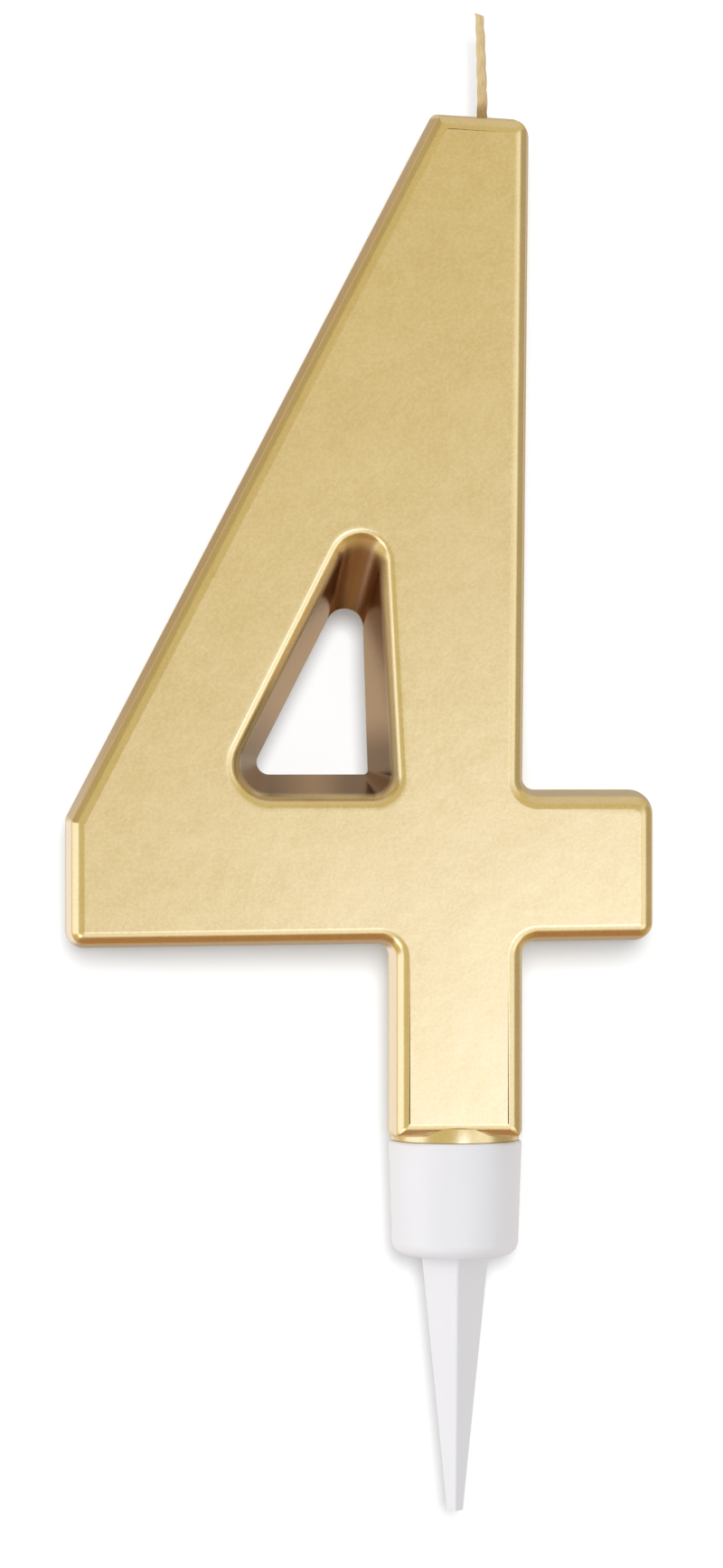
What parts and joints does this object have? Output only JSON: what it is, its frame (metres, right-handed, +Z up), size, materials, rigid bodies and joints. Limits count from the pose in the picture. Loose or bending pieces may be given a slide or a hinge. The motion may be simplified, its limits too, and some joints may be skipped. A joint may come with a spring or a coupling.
{
  "type": "number candle",
  "caption": "Moulded wax number candle with a gold metallic coat and a cotton wick, plugged into a white plastic cup with a tapered square spike that stands it in a cake.",
  "frame": {"origin": "on the holder's axis at the underside of its cup, where the cup rests on the cake and the spike begins", "axes": "+Z up along the holder's axis and the stem of the figure, +X to the right as the figure is read, -Y towards the reader, so the front face looks along -Y"},
  "size_m": [0.0521, 0.0118, 0.1327],
  "materials": {
    "gold_wax": "satin",
    "cotton_wick": "matte",
    "white_plastic": "satin"
  },
  "bodies": {
    "holder": {"pick_holder": "white_plastic"},
    "candle": {"wax_digit": "gold_wax", "wick": "cotton_wick"}
  },
  "joints": [
    {"name": "candle_pull", "type": "slide", "parent": "holder", "child": "candle", "axis": [0, 0, 1], "range_m": [0, 0.0087]}
  ]
}
